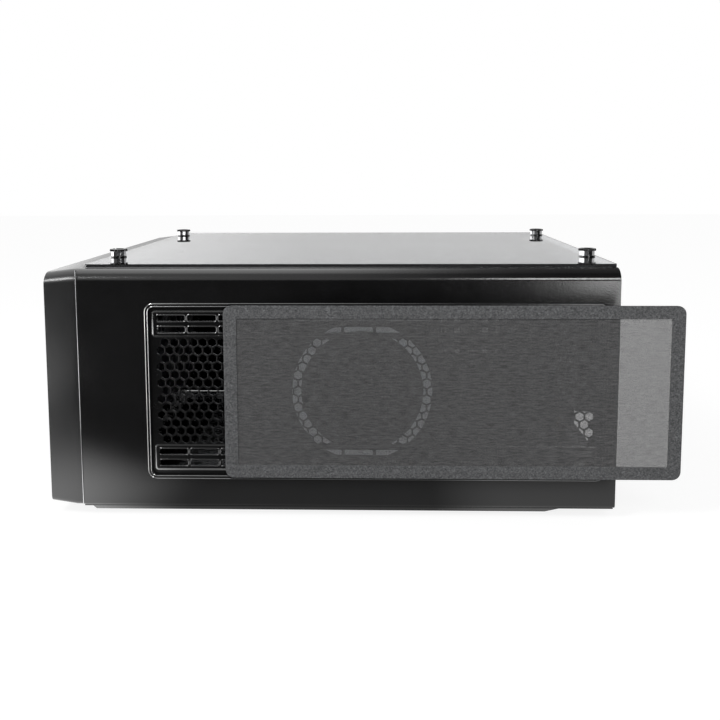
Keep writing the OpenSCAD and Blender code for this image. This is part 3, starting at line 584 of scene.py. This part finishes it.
def makeVentSheet():
    low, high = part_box("top_vent_sheet")
    face = high.y - vent["thick"]
    centreX, centreZ = vent["centre"]
    bm = bmesh.new()
    ringOfEdges(bm, [(low.x, face, low.z), (high.x, face, low.z), (high.x, face, high.z), (low.x, face, high.z)])
    rowHeight = vent["pitch"] * math.sqrt(3) / 2
    holeRadius = (vent["pitch"] - vent["web"]) / 2 / math.cos(math.radians(30))
    for row in range(vent["rows"]):
        inset = (row + 1) % 2
        for column in range(vent["columns"] - inset):
            x = centreX + (column - (vent["columns"] - 1) / 2 + inset / 2) * vent["pitch"]
            z = centreZ + (row - (vent["rows"] - 1) / 2) * rowHeight
            hole = bmesh.ops.create_circle(bm, segments=6, radius=holeRadius)
            quarterTurn(bm, hole["verts"], "X")
            bmesh.ops.translate(bm, verts=hole["verts"], vec=(x, face, z))
    slotSize, slotCorner, steps = vent["slotSize"], vent["slotCorner"], vent["slotCornerSteps"]
    for side in (-1, 1):
        for place in slotPlaces(side):
            ringOfEdges(bm, roundedCorners(place, slotSize, slotCorner, steps, face))
    bmesh.ops.triangle_fill(bm, use_beauty=False, edges=bm.edges, normal=(0, -1, 0))
    for one in bm.faces:
        if one.normal.y > 0:
            one.normal_flip()
    piece = linkMesh("ventSheet", bm)
    thicken = piece.modifiers.new("thickness", "SOLIDIFY")
    thicken.thickness = vent["thick"]
    thicken.offset = -1
    roundEdges(piece, vent["edge"], vent["edgeAngle"])
    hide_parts("top_vent_sheet")
    finishPiece(piece, "top_vent_sheet")
    return face


# beads that stand on a face: two round the slot rows, one round each slot, two along the recess's lip; the bright
# metal of the frames round the slot rows and of the lip beads is a painted highlight on black steel

slotBeads = {
    "frameSize": (0.3738, 0.0226), "frameCorner": 0.0033, "frameWidth": 0.0015, "frameHeight": 0.00027,
    "frameLean": 0.85,                  # where the crest stands, from the outer edge to the inner
    "rim": 0.0011, "rimClear": 0.00015, "rimHeight": 0.0003, "smoothAngle": 10,
}
# the lip beads are painted highlights: two thin bright metal lines along the black recess lip
lipHighlightBeads = {
    "centre": (0.038, 0.108), "size": (0.3864, 0.151), "corner": 0.008,
    "insets": (0.0003, 0.0026), "width": 0.0006, "height": 0.00021, "smoothAngle": 60,
}
beadCornerSteps = 5


def addBead(bm, centre, size, radius, width, height, face, lean=0.5):
    outer = roundedCorners(centre, size, radius, beadCornerSteps, face)
    inner = roundedCorners(centre, (size[0] - 2 * width, size[1] - 2 * width), radius - width, beadCornerSteps, face)
    crest = [(a[0] + (b[0] - a[0]) * lean, face - height, a[2] + (b[2] - a[2]) * lean)
             for a, b in zip(outer, inner)]
    joinRings(bm, [[bm.verts.new(corner) for corner in ring] for ring in (outer, crest, inner)])


def finishBeads(name, bm, node, smoothAngle, look):
    bmesh.ops.recalc_face_normals(bm, faces=bm.faces)
    piece = linkMesh(name, bm)
    shadeSmooth(piece, smoothAngle)
    finishPiece(piece, node, look=look)


def makeSlotBeads(face):
    frames, rims = bmesh.new(), bmesh.new()
    rim, corner = slotBeads["rim"], vent["slotCorner"]
    rimSize = [span + 2 * rim for span in vent["slotSize"]]
    for side in (-1, 1):
        middle = (vent["centre"][0], vent["centre"][1] + side * sum(vent["slotRows"]) / 4)
        addBead(frames, middle, slotBeads["frameSize"], slotBeads["frameCorner"], slotBeads["frameWidth"],
                slotBeads["frameHeight"], face, slotBeads["frameLean"])
        for place in slotPlaces(side):
            addBead(rims, place, rimSize, corner + rim, rim - slotBeads["rimClear"], slotBeads["rimHeight"], face)
    # the frames' bright metal paints their highlight lines; the rims keep the sheet's own black coat
    finishBeads("ventSlotFrames", frames, "top_vent_sheet", slotBeads["smoothAngle"], "painted_highlight_metal")
    finishBeads("ventSlotRims", rims, "top_vent_sheet", slotBeads["smoothAngle"], "powder_steel")


def makeLipHighlightBeads():
    bm = bmesh.new()
    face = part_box("top_cover")[0].y
    for inset in lipHighlightBeads["insets"]:
        size = [span - 2 * inset for span in lipHighlightBeads["size"]]
        addBead(bm, lipHighlightBeads["centre"], size, lipHighlightBeads["corner"] - inset, lipHighlightBeads["width"], lipHighlightBeads["height"], face)
    finishBeads("recessLipHighlightBeads", bm, "top_cover", lipHighlightBeads["smoothAngle"], "painted_highlight_metal")


makeSlotBeads(makeVentSheet())
makeLipHighlightBeads()
print("top vent made")


# front intake: fine hexagonal mesh in a flat rim

intake = {"pitch": 0.0056, "hole": 0.0023, "rim": 0.0075, "underRim": 0.002, "inset": 0.0001, "merge": 0.00001}


def addHexCell(bm, x, y, z, thick):
    wide = intake["pitch"] / math.sqrt(3)
    rings = []
    for depth, radius in ((x, wide), (x, intake["hole"]), (x + thick, intake["hole"]), (x + thick, wide)):
        angles = [math.radians(60 * n) for n in range(6)]
        rings.append([bm.verts.new((depth, y + radius * math.sin(angle), z + radius * math.cos(angle)))
                      for angle in angles])
    joinRings(bm, rings, closed=False)


def makeIntakeMesh():
    low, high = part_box("front_grille")
    rim, pitch, inset = intake["rim"], intake["pitch"], intake["inset"]
    thick = high.x - low.x
    middle = (low + high) / 2
    rowStep = pitch * math.sqrt(3) / 2
    halfY = (high.y - low.y) / 2 - rim + intake["underRim"]
    halfZ = (high.z - low.z) / 2 - rim + intake["underRim"]
    bm = bmesh.new()
    for row in range(-int(halfZ / rowStep), int(halfZ / rowStep) + 1):
        shift = row % 2 / 2
        for column in range(-int(halfY / pitch), int(halfY / pitch - shift) + 1):
            addHexCell(bm, low.x + inset, middle.y + (column + shift) * pitch, middle.z + row * rowStep,
                       thick - 2 * inset)
    bmesh.ops.remove_doubles(bm, verts=bm.verts, dist=intake["merge"])
    bmesh.ops.recalc_face_normals(bm, faces=bm.faces)
    sides = [((low.y, low.z), (low.y + rim, high.z)), ((high.y - rim, low.z), (high.y, high.z)),
             ((low.y, low.z), (high.y, low.z + rim)), ((low.y, high.z - rim), (high.y, high.z))]
    for first, last in sides:
        addBox(bm, (thick, last[0] - first[0], last[1] - first[1]),
               (middle.x, (first[0] + last[0]) / 2, (first[1] + last[1]) / 2))
    piece = linkMesh("intakeMesh", bm)
    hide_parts("front_grille")
    finishPiece(piece, "front_grille")


makeIntakeMesh()
print("front mesh made")


# dust filter cloth: crossing strands, close enough to read as grey

cloth = {"pitch": 0.0006, "strand": 0.00032, "thick": 0.00016, "weave": 0.4}
supplyCloth = {"pitch": 0.0014, "strand": 0.0009, "margin": 0.0065, "handle": 0.0145, "depths": (0.0008, 0.0012)}


def makeFilterCloth(name, low, high, pitch, strand):
    bm = bmesh.new()
    middle = (low + high) / 2
    for along, across, layer in ((0, 2, cloth["weave"]), (2, 0, -cloth["weave"])):
        count = int((high[across] - low[across]) / pitch)
        start = middle[across] - (count - 1) * pitch / 2
        size = Vector((0, cloth["thick"], 0))
        size[along] = high[along] - low[along]
        size[across] = strand
        for index in range(count):
            place = middle.copy()
            place[across] = start + index * pitch
            place.y += cloth["thick"] * layer
            addBox(bm, size, place)
    return linkMesh(name, bm)


topCloth = makeFilterCloth("filterCloth", *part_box("filter_mesh"), cloth["pitch"], cloth["strand"])
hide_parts("filter_mesh")
finishPiece(topCloth, "filter_mesh")
trayLow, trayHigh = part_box("psu_filter")
margin, handle, (bottom, top) = supplyCloth["margin"], supplyCloth["handle"], supplyCloth["depths"]
clothLow = Vector((trayLow.x + margin, trayLow.y + bottom, trayLow.z + margin))
clothHigh = Vector((trayHigh.x - handle, trayLow.y + top, trayHigh.z - margin))
supplyPiece = makeFilterCloth("supplyFilterCloth", clothLow, clothHigh, supplyCloth["pitch"], supplyCloth["strand"])
finishPiece(supplyPiece, "psu_filter", slot="filter_cloth")
print("filter cloths made")


# studio: pale floor, white surroundings for the lens, soft light

studio = {
    "floorSize": 6.0,
    "floorGlow": 0.86, "floorPaint": 0.24,     # glow and paint add up to white where no shadow falls
    "paperEdge": (-0.27, -0.45),               # in reflections the floor darkens towards the camera
    "paperLeft": (-0.12, -0.27),               # and from the left to the middle
    "paperRight": (0.04, 0.16),
    "paperLevels": {"far": 0.03, "middle": 0.17, "left": 1.9, "right": 0.46},
    "paperAside": {"sideways": (-0.42, -0.58), "depth": (-1.15, -0.95), "level": 2.4},
    "worldLight": 0.48,
    "mirrored": {"front": 0.03, "back": 0.62, "nearLeft": 1.4, "farLeft": 2.6, "left": 0.3,
                 "highBack": 0.84, "highFront": 0.37, "right": 0.09},
    "turns": {                                 # directions between which the mirrored levels change
        "back": (0.0, 0.2), "nearLeft": (-0.05, -0.26), "farLeft": (-0.25, -0.36), "left": (-0.55, -0.9),
        "high": (0.28, 0.42), "right": (-0.1, 0.13),
    },
    "lampTarget": (0, 0, 0.1),
    "lamps": [
        ("keyLamp", (-1.1, -1.2, 1.5), 0.5, 13.0),
        ("frontRightLamp", (0.72, -1.9, 0.3), 0.42, 1.7),
        ("highRightLamp", (0.5, -1.5, 1.05), 0.4, 3.0),
        ("leftLamp", (-1.5, -0.45, 0.35), 0.6, 3.4),
    ],
}


def rangeNode(tree, source, low, high, first, last):
    levels = {"From Min": low, "From Max": high, "To Min": first, "To Max": last}
    node = addNode(tree, "ShaderNodeMapRange", interpolation_type="SMOOTHSTEP", **levels)
    tree.links.new(source, node.inputs["Value"])
    return node.outputs[0]


def mathNode(tree, operation, first, second):
    node = addNode(tree, "ShaderNodeMath", operation=operation)
    for index, value in enumerate((first, second)):
        if isinstance(value, (int, float)):
            node.inputs[index].default_value = value
        else:
            tree.links.new(value, node.inputs[index])
    return node.outputs[0]


def makeFloor():
    bm = bmesh.new()
    bmesh.ops.create_grid(bm, x_segments=1, y_segments=1, size=studio["floorSize"])
    floor = linkMesh("floor", bm)
    material = bpy.data.materials.new("floorPaint")
    material.use_nodes = True
    tree = material.node_tree
    tree.nodes.remove(tree.nodes["Principled BSDF"])
    path = addNode(tree, "ShaderNodeLightPath")
    place = addNode(tree, "ShaderNodeTexCoord")
    axes = addNode(tree, "ShaderNodeSeparateXYZ")
    tree.links.new(place.outputs["Object"], axes.inputs[0])
    near, far = studio["paperEdge"]
    levels = studio["paperLevels"]
    depth = rangeNode(tree, axes.outputs["Y"], far, near, levels["far"], 1.0)
    left = rangeNode(tree, axes.outputs["X"], *studio["paperLeft"], levels["middle"], levels["left"])
    right = rangeNode(tree, axes.outputs["X"], *studio["paperRight"], 0.0, levels["right"])
    mirrored = mathNode(tree, "MULTIPLY", depth, mathNode(tree, "MAXIMUM", left, right))
    panel = studio["paperAside"]
    aside = rangeNode(tree, axes.outputs["X"], *panel["sideways"], 0.0, panel["level"])
    beside = rangeNode(tree, axes.outputs["Y"], *panel["depth"], 0.0, 1.0)
    mirrored = mathNode(tree, "MAXIMUM", mirrored, mathNode(tree, "MULTIPLY", aside, beside))
    lens = mathNode(tree, "MULTIPLY", path.outputs["Is Camera Ray"], studio["floorGlow"])
    gloss = mathNode(tree, "MULTIPLY", path.outputs["Is Glossy Ray"], mirrored)
    through = mathNode(tree, "MULTIPLY", path.outputs["Is Transmission Ray"], studio["floorGlow"])
    strength = mathNode(tree, "ADD", mathNode(tree, "ADD", lens, gloss), through)
    glow = addNode(tree, "ShaderNodeEmission")
    tree.links.new(strength, glow.inputs["Strength"])
    paint = addNode(tree, "ShaderNodeBsdfDiffuse")
    dull = mathNode(tree, "SUBTRACT", 1.0, path.outputs["Is Glossy Ray"])
    tree.links.new(mathNode(tree, "MULTIPLY", dull, studio["floorPaint"]), paint.inputs["Color"])
    both = addNode(tree, "ShaderNodeAddShader")
    tree.links.new(glow.outputs[0], both.inputs[0])
    tree.links.new(paint.outputs[0], both.inputs[1])
    tree.links.new(both.outputs[0], tree.nodes["Material Output"].inputs["Surface"])
    floor.data.materials.append(material)


def makeWorld():
    world = bpy.data.worlds.new("studioWorld")
    scene.world = world
    world.use_nodes = True
    tree = world.node_tree
    background = tree.nodes["Background"]
    path = addNode(tree, "ShaderNodeLightPath")
    place = addNode(tree, "ShaderNodeTexCoord")
    axes = addNode(tree, "ShaderNodeSeparateXYZ")
    tree.links.new(place.outputs["Generated"], axes.inputs[0])
    level, turn = studio["mirrored"], studio["turns"]
    back = rangeNode(tree, axes.outputs["Y"], *turn["back"], level["front"], level["back"])
    nearLeft = rangeNode(tree, axes.outputs["X"], *turn["nearLeft"], 1.0, level["nearLeft"])
    farLeft = rangeNode(tree, axes.outputs["X"], *turn["farLeft"], 1.0, level["farLeft"])
    back = mathNode(tree, "MULTIPLY", back, mathNode(tree, "MULTIPLY", nearLeft, farLeft))
    left = rangeNode(tree, axes.outputs["X"], *turn["left"], 0.0, level["left"])
    high = rangeNode(tree, axes.outputs["Z"], *turn["high"], 0.0, 1.0)
    above = rangeNode(tree, axes.outputs["Y"], *turn["back"], level["highFront"], level["highBack"])
    across = rangeNode(tree, axes.outputs["X"], *turn["right"], 1.0, level["right"])
    low = mathNode(tree, "MULTIPLY", mathNode(tree, "MAXIMUM", back, left), mathNode(tree, "SUBTRACT", 1.0, high))
    upper = mathNode(tree, "MULTIPLY", mathNode(tree, "MULTIPLY", above, across), high)
    mirrored = mathNode(tree, "ADD", low, upper)
    gloss = mathNode(tree, "MULTIPLY", path.outputs["Is Glossy Ray"], mirrored)
    seen = mathNode(tree, "MAXIMUM", path.outputs["Is Camera Ray"], path.outputs["Is Transmission Ray"])
    either = mathNode(tree, "MAXIMUM", seen, path.outputs["Is Glossy Ray"])
    ambient = mathNode(tree, "MULTIPLY", mathNode(tree, "SUBTRACT", 1.0, either), studio["worldLight"])
    total = mathNode(tree, "ADD", mathNode(tree, "ADD", gloss, seen), ambient)
    tree.links.new(total, background.inputs["Strength"])
    background.inputs["Color"].default_value = (1, 1, 1, 1)


def makeLamps():
    target = Vector(studio["lampTarget"])
    for name, place, size, power in studio["lamps"]:     # size in metres, power in watts
        data = bpy.data.lights.new(name, "AREA")
        data.size = size
        data.energy = power
        lamp = bpy.data.objects.new(name, data)
        scene.collection.objects.link(lamp)
        aim = (target - Vector(place)).to_track_quat("-Z", "Y")
        lamp.matrix_world = Matrix.Translation(place) @ aim.to_matrix().to_4x4()


makeFloor()
makeWorld()
makeLamps()
print("studio lit")
